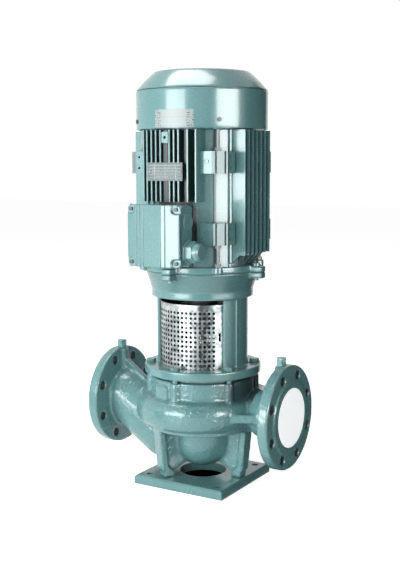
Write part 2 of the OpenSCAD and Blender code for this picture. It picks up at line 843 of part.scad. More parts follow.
module fan_cowl() color("#7fb5b0") {
    top_z = cowl_z + cowl_straight + cowl_cone;
    difference() {
        intersection() {
            rotate_extrude($fn = smooth) cowl_profile(0);
            disc(cowl_r + 1, cowl_z, 200);
        }
        rotate_extrude($fn = smooth) cowl_profile(cowl_t);
        // air inlet: arcs cut through the top
        for (r = [24 : 12 : cowl_top_r - 14], a = spread(6, 0))
            rotate([0, 0, a + (r % 24 == 0 ? 0 : 30)])
                rotate_extrude(angle = 48, $fn = smooth)
                    translate([r, top_z - 10]) square([6, 20]);
        turned(spread(4, 45)) translate([0, 0, cowl_z + 16]) rod_x(cowl_r - 10, cowl_screw_r + run, 20);
    }
}

module cowl_screws() color("#9aa3a5") {
    turned(spread(4, 45))
        translate([0, 0, cowl_z + 16]) {
            rod_x(cowl_r - 6.5, cowl_screw_r - seat, 8);
            rod_x(cowl_r + seat, 4.5, 2.5);
        }
}

module stator_core() color("#6d7175") {
    ring(frame_bore_r - seat, bore_r, core_mid_z - core_len / 2, core_len);
}

// end windings above and below the core
module stator_windings() color("#b5651d") {
    for (side = [-1, 1])
        translate([0, 0, core_mid_z + side * (core_len / 2 + 12)])
            rotate_extrude($fn = smooth)
                translate([84, 0]) {
                    square([24, 12], center = true);
                    for (s = [-1, 1]) translate([0, s * 6]) square([18, 12 - seat], center = true);
                }
}

// Terminal box

// rectangle with round corners, as two bars and four circles
module rounded_plate(x, z, w, h, r) {
    translate([x + r, z]) square([w - 2 * r, h]);
    translate([x, z + r]) square([w, h - 2 * r]);
    for (cx = [x + r, x + w - r], cz = [z + r, z + h - r])
        translate([cx, cz]) circle(r = r, $fn = fine);
}

module box_outline(inset) {
    rounded_plate(inset - box_half, box_low_z + 2 + inset, 2 * (box_half - inset), lid_w - 4 - 2 * inset,
        max(1, lid_round - 2 - inset));
}

// extrude a shape drawn in X and Z from y = -far to y = -near
module facing_front(far, near) {
    translate([0, -near, 0]) rotate([90, 0, 0]) linear_extrude(far - near) children();
}

lid_screw_places = [for (x = [-1, 1], z = [-1, 1])
    [x * (lid_w / 2 - 9), box_mid_z + z * (lid_w / 2 - 9)]];
lid_gasket_t = 1.5;
box_front = lid_face - lid_t - lid_gasket_t;

module terminal_box() color("#7fb5b0") {
    difference() {
        union() {
            facing_front(box_front, box_back) box_outline(0);
            facing_front(box_back + 1, barrel_r + 7)
                translate([-46, box_mid_z - 50]) square([92, 100]);
        }
        difference() {
            facing_front(box_front + 1, box_back + box_wall) box_outline(box_wall);
            for (p = lid_screw_places)
                facing_front(box_front + 2, box_back) translate(p) circle(r = 7, $fn = fine);
        }
        for (p = lid_screw_places)
            facing_front(box_front + 1, box_front - 16) translate(p) circle(r = 2 + seat, $fn = fine);
        facing_front(box_back + box_wall + 1, barrel_r) translate([0, box_mid_z]) circle(r = 16, $fn = fine);
        translate([0, -gland_y, gland_z]) rod_x(box_half - 10, 12, 20);
        translate([0, -gland_y, blank_z]) rod_x(box_half - 10, 12, 20);
    }
}

gland_y = 159;
gland_z = box_mid_z - 31;
blank_z = box_mid_z + 28;

module lid_gasket() color("#3b3b3a") {
    facing_front(box_front + lid_gasket_t, box_front)
        difference() {
            box_outline(0);
            difference() {
                box_outline(box_wall);
                for (p = lid_screw_places) translate(p) circle(r = 7, $fn = fine);
            }
            for (p = lid_screw_places) translate(p) circle(r = 2.2, $fn = fine);
        }
}

module terminal_box_lid() color("#86bab5") {
    back = lid_face - lid_t;
    arch_r = 330;
    difference() {
        intersection() {
            facing_front(lid_face + 1, back) rounded_plate(-lid_w / 2, box_low_z, lid_w, lid_w, lid_round);
            translate([0, arch_r - lid_face, box_low_z - 1]) cylinder(r = arch_r, h = lid_w + 2, $fn = 240);
        }
        for (p = lid_screw_places) {
            facing_front(lid_face + 2, back + 5)
                translate(p) {
                    circle(r = 9, $fn = fine);
                    translate([p[0] > 0 ? 0 : -12, -9]) square([12, 18]);
                    translate([-9, p[1] > box_mid_z ? 0 : -12]) square([18, 12]);
                }
            facing_front(lid_face, back - 1) translate(p) circle(r = 2.2, $fn = fine);
        }
        // shallow vertical grooves
        for (x = [-38, -30, -21, 21, 31])
            translate([x - 0.8, -lid_face - 1, box_low_z - 1]) cube([1.6, 3 + abs(x) * 0.06, lid_w + 2]);
    }
}

module lid_screws() color("#8b8f90") {
    back = lid_face - lid_t;
    for (p = lid_screw_places) {
        facing_front(back + 5 + 3, back + 5 + seat) translate(p) circle(r = 4, $fn = fine);
        facing_front(back + 6, box_front - 14) translate(p) circle(r = 2, $fn = fine);
    }
}

module terminal_board() color("#4b3a2c") {
    base_y = box_back + box_wall;
    difference() {
        facing_front(base_y + 9, base_y) translate([-32, box_mid_z - 24]) square([64, 48]);
        facing_front(base_y + 5, base_y - 1) translate([0, box_mid_z]) circle(r = 15, $fn = fine);
    }
    for (x = [-20, 0, 20], z = [-12, 12])
        facing_front(base_y + 21, base_y + 8) translate([x, box_mid_z + z]) circle(r = 2.5, $fn = fine);
}

module cable_gland() color("#8fb3b0") {
    translate([0, -gland_y, gland_z]) {
        rod_x(box_half - 8, 12 - seat, 8 + 8);
        translate([box_half, 0, 0]) rotate([0, 90, 0]) hexagon(44, 0, 6);
        rod_x(box_half + 6, 13, 12);
    }
}

module gland_cap() color("#8fb3b0") {
    translate([0, -gland_y, gland_z])
        difference() {
            union() {
                translate([box_half + 6, 0, 0]) rotate([0, 90, 0]) hexagon(2 * gland_r - 2, 0, 14);
                rod_x(box_half + 6, gland_r - 2, 23);
                translate([box_half + 29, 0, 0])
                    rotate([0, 90, 0]) cylinder(r1 = gland_r - 2, r2 = gland_r - 6, h = 4, $fn = smooth);
            }
            rod_x(box_half + 5, 13 + seat, 14);
        }
}

module blanking_plug() color("#8fb3b0") {
    translate([0, -gland_y, blank_z])
        difference() {
            union() {
                rod_x(box_half - 8, 12 - seat, 9);
                rod_x(box_half, 17, 3);
            }
            translate([box_half + 1.5, -8, -1]) cube([3, 16, 2]);
        }
}

// Plates

plate_y = fin_reach - 3;

module nameplate() color("#a9adb0") {
    facing_front(plate_y + 1, plate_y)
        difference() {
            translate([-51, frame_z + 175]) square([83, 37]);
            for (x = [-46, 27]) translate([x, frame_z + 193.5]) circle(r = 1.6, $fn = fine);
        }
}

module nameplate_rivets() color("#c8ccce") {
    for (x = [-46, 27])
        translate([x, 0, frame_z + 193.5]) {
            facing_front(plate_y + 2.2, plate_y + 1 + seat) circle(r = 3, $fn = fine);
            facing_front(plate_y + 1.2, plate_y - 6) circle(r = 1.5, $fn = fine);
        }
}

module cowl_label() color("#dfe5e4") {
    rotate([0, 0, -102])
        rotate_extrude(angle = 36, $fn = smooth)
            translate([cowl_r + seat, cowl_z + 2]) square([0.4, 35]);
}

// Rolling bearings: grooved rings, balls held by a cage

module bearing_groove(mid, ball, z) {
    translate([0, 0, z])
        rotate_extrude($fn = smooth) translate([mid, 0]) circle(r = ball + run, $fn = fine);
}

module bearing_outer(r_out, wall, z, w, mid, ball) {
    difference() {
        ring(r_out, r_out - wall, z, w);
        bearing_groove(mid, ball, z + w / 2);
    }
}

module bearing_inner(r_in, wall, z, w, mid, ball) {
    difference() {
        ring(r_in + wall, r_in + seat, z, w);
        bearing_groove(mid, ball, z + w / 2);
    }
}

module bearing_cage(z, w, mid, ball) {
    ring(mid + 1, mid - 1, z + w / 2 - 4, 8);
    turned(spread(9)) translate([mid, 0, z + w / 2]) sphere(r = ball, $fn = fine);
}

motor_bearing_w = 18;
motor_ball = 5;
motor_mid = (motor_shaft_r + 40) / 2;
motor_bearing_places = [frame_z + 5, frame_top - 22];
pump_bearing_w = 16;
pump_ball = 4;
pump_mid = 23;
pump_bearing_z = lantern_z + 26;

module motor_bearing_outers() color("#c8ccce") {
    for (z = motor_bearing_places) bearing_outer(40, 6, z, motor_bearing_w, motor_mid, motor_ball);
}

module motor_bearing_inners() color("#c8ccce") {
    for (z = motor_bearing_places)
        bearing_inner(motor_shaft_r, 6, z, motor_bearing_w, motor_mid, motor_ball);
}

module motor_bearing_cages() color("#b59a5b") {
    for (z = motor_bearing_places) bearing_cage(z, motor_bearing_w, motor_mid, motor_ball);
}

module pump_bearing_outer() color("#c8ccce") {
    bearing_outer(31, 5, pump_bearing_z, pump_bearing_w, pump_mid, pump_ball);
}

module pump_bearing_inner() color("#c8ccce") {
    bearing_inner(15, 5, pump_bearing_z, pump_bearing_w, pump_mid, pump_ball);
}

module pump_bearing_cage() color("#b59a5b") {
    bearing_cage(pump_bearing_z, pump_bearing_w, pump_mid, pump_ball);
}

// spring washer that preloads the upper bearing
module wave_spring() color("#8b8f90") {
    ring(39, 35, frame_top - 24, 2 - seat);
}

// Motor rotor

motor_end_z = motor_face_z - 80;

module motor_shaft() color("#b9bdc0") {
    difference() {
        union() {
            disc(19, motor_end_z, 81);
            disc(motor_shaft_r, motor_face_z, motor_bearing_places[0] + motor_bearing_w - motor_face_z + 4);
            disc(motor_shaft_r + 5, motor_bearing_places[0] + motor_bearing_w,
                motor_bearing_places[1] - motor_bearing_places[0] - motor_bearing_w);
            disc(motor_shaft_r, motor_bearing_places[1] - 1, motor_bearing_w + 1);
            disc(16, motor_bearing_places[1] + motor_bearing_w - 1, fan_z + 40 - motor_bearing_places[1] - motor_bearing_w);
        }
        translate([14, -5, motor_end_z + 6]) cube([10, 10, 60]);
        ring(20, 15, fan_z + 36, 1.6);
    }
}

module motor_key() color("#8b8f90") {
    translate([14 + seat, -5 + seat, motor_end_z + 6 + seat]) cube([8, 10 - 2 * seat, 60 - 2 * seat]);
}

module rotor_core() color("#8a8f94") {
    ring(bore_r - air_gap, motor_shaft_r + 5 + seat, core_mid_z - core_len / 2, core_len);
    for (side = [-1, 1])
        ring(bore_r - 6, motor_shaft_r + 12, core_mid_z + side * (core_len / 2 + 5) - 5, 10);
}

fan_z = cowl_z + 40;

module fan() color("#3a3d3f") {
    difference() {
        union() {
            disc(24, fan_z, 36);
            disc(fan_r - 20, fan_z, 3);
            for (a = spread(fan_blades))
                rotate([0, 0, a])
                    translate([20, -1.5, fan_z]) cube([fan_r - 20, 3, 34]);
        }
        disc(16 + seat, fan_z - 1, 60);
    }
}

module fan_circlip() color("#8b8f90") {
    ring(20, 15 + seat, fan_z + 36 + seat, 1.5);
}

// lip ring that keeps water out of the drive end bearing
module v_ring() color("#2b2b2a") {
    ring(22, 19 + seat, motor_face_z - 12, 10);
    ring(27, 21, motor_face_z - 7, 2.7);
}

// Coupling

coupling_mid_z = motor_end_z - 14;

// jaws stand on a flange; every second gap is theirs
module jaw_sector(z, h) {
    gap = 6;
    wide = 180 / jaws - gap * 2;
    for (a = spread(jaws))
        rotate([0, 0, a - wide / 2])
            rotate_extrude(angle = wide, $fn = smooth) translate([22, z]) square([coupling_r - 23, h]);
}

module coupling_upper() color("#6f7478") {
    difference() {
        union() {
            disc(34, coupling_mid_z + 7, 62);
            disc(coupling_r, coupling_mid_z + 7, 12);
            jaw_sector(coupling_mid_z - 6, 14);
        }
        disc(19 + seat, coupling_mid_z + 12, 80);
        translate([14, -5 - seat, coupling_mid_z + 12]) cube([8.5, 10 + 2 * seat, 80]);
    }
}

module coupling_lower() color("#6f7478") {
    difference() {
        union() {
            disc(31, coupling_mid_z - 45, 38);
            disc(coupling_r, coupling_mid_z - 19, 12);
            rotate([0, 0, 180 / jaws]) jaw_sector(coupling_mid_z - 8, 14);
        }
        disc(shaft_r + seat, coupling_mid_z - 60, 48);
    }
}

// soft star between the jaws
module coupling_spider() color("#a8322a") {
    h = 12;
    ring(21, 10, coupling_mid_z - h / 2, h);
    for (a = spread(2 * jaws, 90 / jaws))
        rotate([0, 0, a])
            translate([18, -1.7, coupling_mid_z - h / 2]) cube([coupling_r - 20, 3.4, h]);
}

// Pump rotor

hub_top = ring_z - 36;

module pump_shaft() color("#c4c8ca") {
    difference() {
        union() {
            disc(8, hub_top - 58, 20);
            disc(11, hub_top - 40, 41);
            disc(shaft_r, hub_top, pump_bearing_z - hub_top);
            disc(15, pump_bearing_z - 1, pump_bearing_w + 2);
            disc(shaft_r, pump_bearing_z + pump_bearing_w, coupling_mid_z - 14 - pump_bearing_z - pump_bearing_w);
        }
        translate([8, -2, hub_top - 36]) cube([6, 4, 24]);
    }
}

module impeller_key() color("#8b8f90") {
    translate([8 + seat, -2 + seat, hub_top - 36 + seat]) cube([4.5, 4 - 2 * seat, 24 - 2 * seat]);
}

// closed impeller: eye skirt and front shroud, back shroud with hub, curved vanes between
module impeller() color("#b08d57") {
    back_z = volute_z + 10;
    skirt_z = case_floor_z - 7;
    difference() {
        union() {
            rotate_extrude($fn = smooth)
                polygon([[eye_r, skirt_z], [eye_r + 6, skirt_z], [eye_r + 6, case_floor_z + 3],
                    [impeller_r, volute_z - 8], [impeller_r, volute_z - 5],
                    [eye_r + 8, case_floor_z + 10], [eye_r, case_floor_z + 4]]);
            disc(impeller_r, back_z, 4);
            disc(20, hub_top - 40, 40);
            rotate_extrude($fn = smooth)
                polygon([[12, hub_top - 40], [22, hub_top - 39], [40, back_z + 1], [12, back_z + 1]]);
            intersection() {
                turned(spread(vanes)) impeller_vane(back_z);
                rotate_extrude($fn = smooth)
                    polygon([[30, back_z + 1], [30, case_floor_z + 4], [eye_r + 3, case_floor_z + 4],
                        [eye_r + 9, case_floor_z + 9], [impeller_r - 0.5, volute_z - 6],
                        [impeller_r - 0.5, back_z + 1]]);
            }
        }
        disc(11 + seat, hub_top - 60, 80);
        translate([8, -2 - seat, hub_top - 60]) cube([5, 4 + 2 * seat, 80]);
    }
}

// backward curved vane: part of a thin ring set off the axis
module impeller_vane(back_z) {
    bend = 70;
    translate([0, 0, case_floor_z])
        intersection() {
            translate([30, 45, 0]) ring(bend, bend - 4, 0, back_z - case_floor_z + 1);
            translate([0, -impeller_r, -1]) cube([impeller_r, impeller_r, 60]);
        }
}

module impeller_nut() color("#b08d57") {
    difference() {
        union() {
            hexagon(26, hub_top - 51, 11 - seat);
            disc(11, hub_top - 60, 10);
        }
        disc(8 + seat, hub_top - 58.5, 30);
    }
}

module seal_head() color("#55585a") {
    ring(23, shaft_r + seat, ring_z - 22, 18 - seat);
}

module seal_spring() color("#c4c8ca") {
    wire = 1.5;
    coil = 19;
    turns = 3;
    per_turn = 16;
    low = hub_top + wire + seat;
    high = ring_z - 22 - wire - seat;
    loft([for (i = [0 : turns * per_turn])
        let (a = 360 * i / per_turn, z = mix(low, high, i / (turns * per_turn)))
        [for (j = [0 : 7])
            let (r = coil + wire * cos(45 * j)) [r * cos(a), r * sin(a), z + wire * sin(45 * j)]]]);
}

base_plate();
foot_screws();
pump_casing();
wear_ring();
casing_gasket();
casing_cover();
seal_seat();
lantern();
lantern_bolts();
bearing_housing();
housing_screws();
pump_bearing_outer();
guard_front();
guard_rear();
suction_gauge_plug();
discharge_gauge_plug();
outlet_cover();
motor_frame();
de_shield();
nde_shield();
flange_screws();
de_shield_screws();
nde_shield_screws();
fan_cowl();
cowl_screws();
stator_core();
stator_windings();
terminal_box();
lid_gasket();
terminal_box_lid();
lid_screws();
terminal_board();
cable_gland();
gland_cap();
blanking_plug();
nameplate();
nameplate_rivets();
cowl_label();
motor_bearing_outers();
wave_spring();
motor_shaft();
rotor_core();
fan();
motor_bearing_inners();
v_ring();
coupling_upper();
motor_key();
fan_circlip();
coupling_lower();
coupling_spider();
pump_shaft();
pump_bearing_inner();
seal_head();
seal_spring();
impeller();
impeller_nut();
impeller_key();
motor_bearing_cages();
pump_bearing_cage();
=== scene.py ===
import bmesh
import bpy
import numpy as np
from mathutils import Matrix


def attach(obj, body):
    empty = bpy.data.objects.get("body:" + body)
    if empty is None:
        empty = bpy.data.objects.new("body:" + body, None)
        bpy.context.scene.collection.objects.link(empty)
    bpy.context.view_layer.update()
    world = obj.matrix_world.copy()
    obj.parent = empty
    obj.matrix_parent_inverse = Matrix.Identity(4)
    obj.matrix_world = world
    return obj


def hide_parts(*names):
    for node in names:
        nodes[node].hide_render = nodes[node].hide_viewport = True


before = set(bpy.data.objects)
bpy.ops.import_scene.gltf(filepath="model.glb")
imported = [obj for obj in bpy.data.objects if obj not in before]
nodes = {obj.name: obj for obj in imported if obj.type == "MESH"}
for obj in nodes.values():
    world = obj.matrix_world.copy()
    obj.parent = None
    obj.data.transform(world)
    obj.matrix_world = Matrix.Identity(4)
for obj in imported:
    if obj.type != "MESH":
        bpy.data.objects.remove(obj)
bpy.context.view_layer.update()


# Camera
# It stands where the photographer stood: about two metres away at chest height, a little to the
# right of the terminal box, looking slightly down. The picture is upright, 400 by 570.
turn, tilt, swing, roll = np.radians([30.75, 7.38, 0.27, -0.18])
distance, height, aside = 2.03002, 0.69245, 0.00392
focal_px, picture_px, sensor_mm = 948.53, 570, 36

sky = np.array([0, 0, 1.0])
back = np.array([np.sin(turn), -np.cos(turn), 0])
right = np.array([np.cos(turn), np.sin(turn), 0])
eye = back * distance + sky * height + right * aside
back, right = (back * np.cos(swing) + right * np.sin(swing),
               right * np.cos(swing) - back * np.sin(swing))
ahead = -back * np.cos(tilt) - sky * np.sin(tilt)
up = np.cross(right, ahead)
right, up = right * np.cos(roll) + up * np.sin(roll), up * np.cos(roll) - right * np.sin(roll)

lens = bpy.data.cameras.new("camera")
lens.sensor_width = sensor_mm
lens.lens = focal_px / picture_px * sensor_mm
lens.clip_start, lens.clip_end = 0.05, 50
camera = bpy.data.objects.new("camera", lens)
bpy.context.scene.collection.objects.link(camera)
placed = np.eye(4)
placed[:3, :3] = np.stack([right, up, -ahead], axis=1)
placed[:3, 3] = eye
camera.matrix_world = Matrix(placed.tolist())
bpy.context.scene.camera = camera


# Studio
# A pale floor and world and six light panels that the camera doesn't see: three light the colours,
# three only show as highlights. Black cloths keep the gloss dark where no panel should show.
class Wire:
    """A shader socket. Sums, products and the like with it add their Math nodes."""

    def __init__(self, tree, socket):
        self.tree, self.socket = tree, socket

    def math(self, operation, *values):
        made = self.tree.nodes.new("ShaderNodeMath")
        made.operation = operation
        for socket, value in zip(made.inputs, values):
            plug(self.tree, socket, value)
        return Wire(self.tree, made.outputs[0])

    def __add__(self, other): return self.math("ADD", self, other)
    def __sub__(self, other): return self.math("SUBTRACT", self, other)
    def __rsub__(self, other): return self.math("SUBTRACT", other, self)
    def __mul__(self, other): return self.math("MULTIPLY", self, other)
    def __abs__(self): return self.math("ABSOLUTE", self)

    def most(self, other): return self.math("MAXIMUM", self, other)
    def over(self, level): return self.math("GREATER_THAN", self, level)
    def under(self, level): return self.math("LESS_THAN", self, level)
    def within(self, low, high): return self.over(low) * self.under(high)

    def hypot(self, other):
        """Length of the line that runs this far one way and the other value across."""
        squares = self * self + other * other
        return squares.math("SQRT", squares)

    def repeated(self, pitch):
        """Distance to the nearest multiple of twice the pitch."""
        return self.math("PINGPONG", self, pitch)

    def ramp(self, low, high, start=0.0, end=1.0, smooth=False):
        """Clamped line: start at low, end at high; smooth rounds it off."""
        curve = {"interpolation_type": "SMOOTHSTEP" if smooth else "LINEAR"}
        return node(self.tree, "MapRange", curve, Value=self,
                    From_Min=low, From_Max=high, To_Min=start, To_Max=end)


def plug(tree, socket, value):
    """Links a wire to a socket, or sets a plain value on it."""
    if isinstance(value, Wire):
        tree.links.new(value.socket, socket)
    else:
        socket.default_value = value


def node(tree, kind, settings=None, output=0, **sockets):
    """Adds any shader node: its settings first, then its sockets; returns one output."""
    made = tree.nodes.new("ShaderNode" + kind)
    for name, value in (settings or {}).items():
        setattr(made, name, value)
    for name, value in sockets.items():
        plug(tree, made.inputs[name.replace("_", " ")], value)
    return Wire(tree, made.outputs[output])


def axes(tree):
    """The three object coordinates, in metres."""
    place = node(tree, "TexCoord", output=3)
    return [node(tree, "SeparateXYZ", output=i, Vector=place) for i in range(3)]


def seen_directly(tree):
    """1 for rays from the camera, and for reflections and rays through glass."""
    seen, mirrored, through = (node(tree, "LightPath", output=i) for i in (0, 3, 6))
    return seen.most(mirrored).most(through)


def staged(name, corners, material):
    """A four-cornered sheet that belongs to the studio."""
    mesh = bpy.data.meshes.new(name)
    mesh.from_pydata(corners, [], [(0, 1, 2, 3)])
    mesh.materials.append(material)
    sheet = bpy.data.objects.new(name, mesh)
    bpy.context.scene.collection.objects.link(sheet)
    return sheet


world = bpy.data.worlds.new("studio")
bpy.context.scene.world = world
world.use_nodes = True
tree = world.node_tree
background = tree.nodes["Background"]
plug(tree, background.inputs["Color"], (1, 1, 1, 1))
plug(tree, background.inputs["Strength"], seen_directly(tree) * 0.8 + 0.2)

# the floor glows only for what sees it directly; under the foot plate, out to a little less than
# the plate's half width of 109 mm, it is painted black as a painted shadow and does not glow
plate_stands, floor_grey, floor_half = 0.107, 0.88, 12
pale = bpy.data.materials.new("pale_floor")
pale.use_nodes = True
tree = pale.node_tree
paint = tree.nodes["Principled BSDF"]
paint.inputs["Roughness"].default_value = 0.9
paint.inputs["Specular IOR Level"].default_value = 0.0
x, y, z = axes(tree)
plug(tree, paint.inputs["Emission Color"], (1, 1, 1, 1))
clear = abs(x).most(abs(y)).over(plate_stands)
plug(tree, paint.inputs["Emission Strength"], seen_directly(tree) * clear * 0.8)
grey = clear * floor_grey
plug(tree, paint.inputs["Base Color"], node(tree, "CombineColor", Red=grey, Green=grey, Blue=grey))
staged("floor", [(side * floor_half, front * floor_half, 0)
                 for side, front in ((-1, -1), (1, -1), (1, 1), (-1, 1))], pale)


def light_panel(name, at, width, tall, watts, overhead=False, **seen_by):
    """A level light panel that faces the shaft axis, or straight down."""
    lamp = bpy.data.lights.new(name, "AREA")
    lamp.shape = "RECTANGLE"
    lamp.size, lamp.size_y = width, tall
    lamp.energy = watts
    box = bpy.data.objects.new(name, lamp)
    bpy.context.scene.collection.objects.link(box)
    at = np.array(at, float)
    z = sky if overhead else at * (1, 1, 0) / np.hypot(at[0], at[1])
    x = np.array([1.0, 0, 0]) if overhead else np.cross(sky, z)
    placed = np.eye(4)
    placed[:3, :3] = np.stack([x, np.cross(z, x), z], axis=1)
    placed[:3, 3] = at
    box.matrix_world = Matrix(placed.tolist())
    box.visible_camera = False
    for ray, seen in seen_by.items():
        setattr(box, "visible_" + ray, seen)


# the first three light the colours, the last three only show as highlights
light_panel("key", (-1.35, -2.45, 0.8), 1.5, 1.6, 65, glossy=False)
light_panel("fill", (1.0, -2.6, 0.7), 1.8, 1.0, 35, glossy=False)
light_panel("sky_panel", (-0.6, -0.3, 3.3), 1.2, 1.0, 24, overhead=True, glossy=False)
light_panel("left_highlight", (-0.626, -2.42, 0.575), 1.51, 1.05, 60, diffuse=False)
light_panel("right_highlight", (2.41, -0.668, 0.75), 1.77, 1.2, 98, diffuse=False)
light_panel("top_highlight", (-0.52, -0.08, 2.9), 1.8, 0.84, 50, overhead=True, diffuse=False)

black = bpy.data.materials.new("black_cloth")
black.use_nodes = True
cloth_shader = black.node_tree.nodes["Principled BSDF"]
cloth_shader.inputs["Base Color"].default_value = (0.01, 0.01, 0.01, 1)
cloth_shader.inputs["Specular IOR Level"].default_value = 0.0


def hanging(start, end, top):
    """Corners of a cloth that hangs down to the floor."""
    return [(*start, 0.0), (*end, 0.0), (*end, top), (*start, top)]


# only reflections see the cloths: the first two stand right of the pump and before it, a low one
# halves the highlight on the inlet, and the last keeps the pale floor out of the gloss on the right
just_over_floor = 0.0005
cloths = {
    "right_cloth": hanging((0.15, 0.95), (1.15, 0.3), 1.5),
    "front_cloth": hanging((0.18, -1.29), (1.0, -0.84), 2.2),
    "inlet_cloth": hanging((-0.6, -0.5), (-0.22, -0.5), 0.27),
    "floor_cloth": [(x, y, just_over_floor)
                    for x, y in ((0.112, -0.1), (1.6, -0.1), (1.6, 1.6), (0.112, 1.6))],
}
for name, corners in cloths.items():
    cloth = staged(name, corners, black)
    cloth.visible_camera = cloth.visible_diffuse = cloth.visible_shadow = False


# Foot plate
# A square of thick steel plate with a bevelled upper edge, four foundation holes and a round
# opening. The casing's legs are screwed to it from below. It wears the pump's grey green enamel.
ENAMEL = (0.108, 0.250, 0.256)
ENAMEL_PALE = (0.142, 0.298, 0.302)
# the dark of painted shade; the cowl's dark seam uses it too
DARK_OF_PAINTED_SHADE_AND_SEAM = (0.012, 0.024, 0.025)
SEAM = 0.00002  # points closer than this are welded


def finish(name, colour, roughness, **plain):
    """A new material: itself, its tree, its shader and the object coordinates."""
    made = bpy.data.materials.new(name)
    made.use_nodes = True
    tree = made.node_tree
    shader = tree.nodes["Principled BSDF"]
    shader.inputs["Base Color"].default_value = (*colour, 1)
    shader.inputs["Roughness"].default_value = roughness
    for socket, value in plain.items():
        shader.inputs[socket.replace("_", " ")].default_value = value
    return made, tree, shader, node(tree, "TexCoord", output=3)


def noise(tree, place, scale, detail=2.0, roughness=0.5):
    """Soft noise about 0.5, with about scale waves to the metre."""
    return node(tree, "TexNoise", Vector=place, Scale=scale, Detail=detail, Roughness=roughness)


def patchy(tree, shader, place, scale, low, high):
    """Lets the roughness wander between low and high; scale sets the size of the patches."""
    plug(tree, shader.inputs["Roughness"], noise(tree, place, scale).ramp(0.3, 0.7, low, high))


def blend_colours(tree, share, first, second):
    """Mix of two colours; share 0 is the first."""
    made = tree.nodes.new("ShaderNodeMix")
    made.data_type = "RGBA"
    # this node's sockets for colours: factor 0, A 6 and B 7, result 2
    for index, value in ((0, share), (6, first), (7, second)):
        plug(tree, made.inputs[index], (*value, 1) if isinstance(value, tuple) else value)
    return Wire(tree, made.outputs[2])


def bumps(tree, shader, height_m):
    """Bump from a height in metres."""
    plug(tree, shader.inputs["Normal"],
         node(tree, "Bump", Height=height_m, Distance=1.0, Strength=1.0))


def enamel(name, wave_mm, grain_mm, roughness=0.22, lump_mm=0.0, painted_shade_and_seam_mask=None):
    """Gloss enamel over waves and lumps of the metal, with fine grain. Corners that ambient
    occlusion finds get painted shade, and so does every place where the mask made from the three
    coordinates is 1; on the cowl that mask is its dark seam instead."""
    made, tree, shader, place = finish(name, ENAMEL, roughness, IOR=1.5,
                                       Coat_Weight=0.3, Coat_Roughness=0.06)
    waves = noise(tree, place, 45, 3.0)
    grain = noise(tree, place, 420, 2.0, 0.6)
    tone = noise(tree, place, 9.0, 3.0)
    share = tone.ramp(0.35, 0.65) * 0.6 + grain.ramp(0.3, 0.7) * 0.4
    paint = blend_colours(tree, share, ENAMEL, ENAMEL_PALE)
    # painted shade: ambient occlusion darkens the paint in corners and gaps
    hidden = node(tree, "AmbientOcclusion", {"samples": 6}, output=1, Distance=0.05)
    painted_shade_and_seam = hidden.ramp(0.65, 0.1, 0.0, 0.5)
    if painted_shade_and_seam_mask:
        painted_shade_and_seam = painted_shade_and_seam.most(painted_shade_and_seam_mask(*axes(tree)))
    plug(tree, shader.inputs["Base Color"], blend_colours(tree, painted_shade_and_seam, paint, DARK_OF_PAINTED_SHADE_AND_SEAM))
    dull_where_darkened = 0.25
    plug(tree, shader.inputs["Roughness"],
         grain.ramp(0.3, 0.7, roughness - 0.05, roughness + 0.08) + painted_shade_and_seam * dull_where_darkened)
    height_m = waves * (wave_mm / 1000) + grain * (grain_mm / 1000)
    if lump_mm:
        height_m = height_m + noise(tree, place, 130.0, 1.0).ramp(0.5, 0.75) * (lump_mm / 1000)
    bumps(tree, shader, height_m)
    return made


def dress(material, *names):
    """Gives CAD nodes their material."""
    for name in names:
        slots = nodes[name].data.materials
        slots.clear()
        slots.append(material)


def copied(name):
    """A merged copy of a CAD node's mesh, as an editable mesh in memory."""
    made = bmesh.new()
    made.from_mesh(nodes[name].data)
    bmesh.ops.remove_doubles(made, verts=made.verts, dist=SEAM)
    return made


def shown(made, name, material, replaced, body="pump"):
    """Turns an editable mesh into a smooth shaded piece that stands for a node."""
    mesh = bpy.data.meshes.new(name)
    made.to_mesh(mesh)
    made.free()
    mesh.polygons.foreach_set("use_smooth", np.ones(len(mesh.polygons), bool))
    mesh.materials.append(material)
    piece = bpy.data.objects.new(name, mesh)
    bpy.context.scene.collection.objects.link(piece)
    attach(piece, body)
    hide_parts(replaced)
    return piece


def softened(name, radius_mm, material):
    """The CAD node with its edges rounded, as paint and handling leave them."""
    made = copied(name)
    bmesh.ops.dissolve_limit(made, angle_limit=np.radians(0.6), use_dissolve_boundaries=False,
                             verts=made.verts, edges=made.edges)
    piece = shown(made, name + "_finished", material, name)
    rounding = piece.modifiers.new("rounded_edges", "BEVEL")
    rounding.width = radius_mm / 1000
    rounding.segments = 2
    rounding.limit_method = "ANGLE"
    rounding.angle_limit = np.radians(32)
    even = piece.modifiers.new("even_shading", "WEIGHTED_NORMAL")
    even.keep_sharp = False
    return piece


softened("base_plate", 1.2, enamel("plate_enamel", wave_mm=0.10, grain_mm=0.03))

steel, tree, shader, place = finish("dull_steel", (0.045, 0.07, 0.072), 0.45, Metallic=0.2)
patchy(tree, shader, place, 300.0, 0.32, 0.5)
dress(steel, "foot_screws")


# Pump casing
# Grey iron sand casting: a volute with inlet and outlet branches, flanges, ribs and three legs.
# All its corners are rounded off in the mould, and the enamel runs over the rough skin.
def casting(name, material, cell_mm, passes, keep):
    """The CAD node as it leaves the mould: skinned anew in small cells, then evened out."""
    piece = shown(copied(name), name + "_casting", material, name)
    skin = piece.modifiers.new("skin", "REMESH")
    skin.mode = "VOXEL"
    skin.voxel_size = cell_mm / 1000
    even = piece.modifiers.new("even", "SMOOTH")
    even.factor = 0.5
    even.iterations = passes
    fewer = piece.modifiers.new("fewer", "DECIMATE")
    fewer.ratio = keep
    drawn = piece.evaluated_get(bpy.context.evaluated_depsgraph_get())
    mesh = bpy.data.meshes.new_from_object(drawn)
    mesh.polygons.foreach_set("use_smooth", np.ones(len(mesh.polygons), bool))
    piece.modifiers.clear()
    piece.data = mesh
    return piece


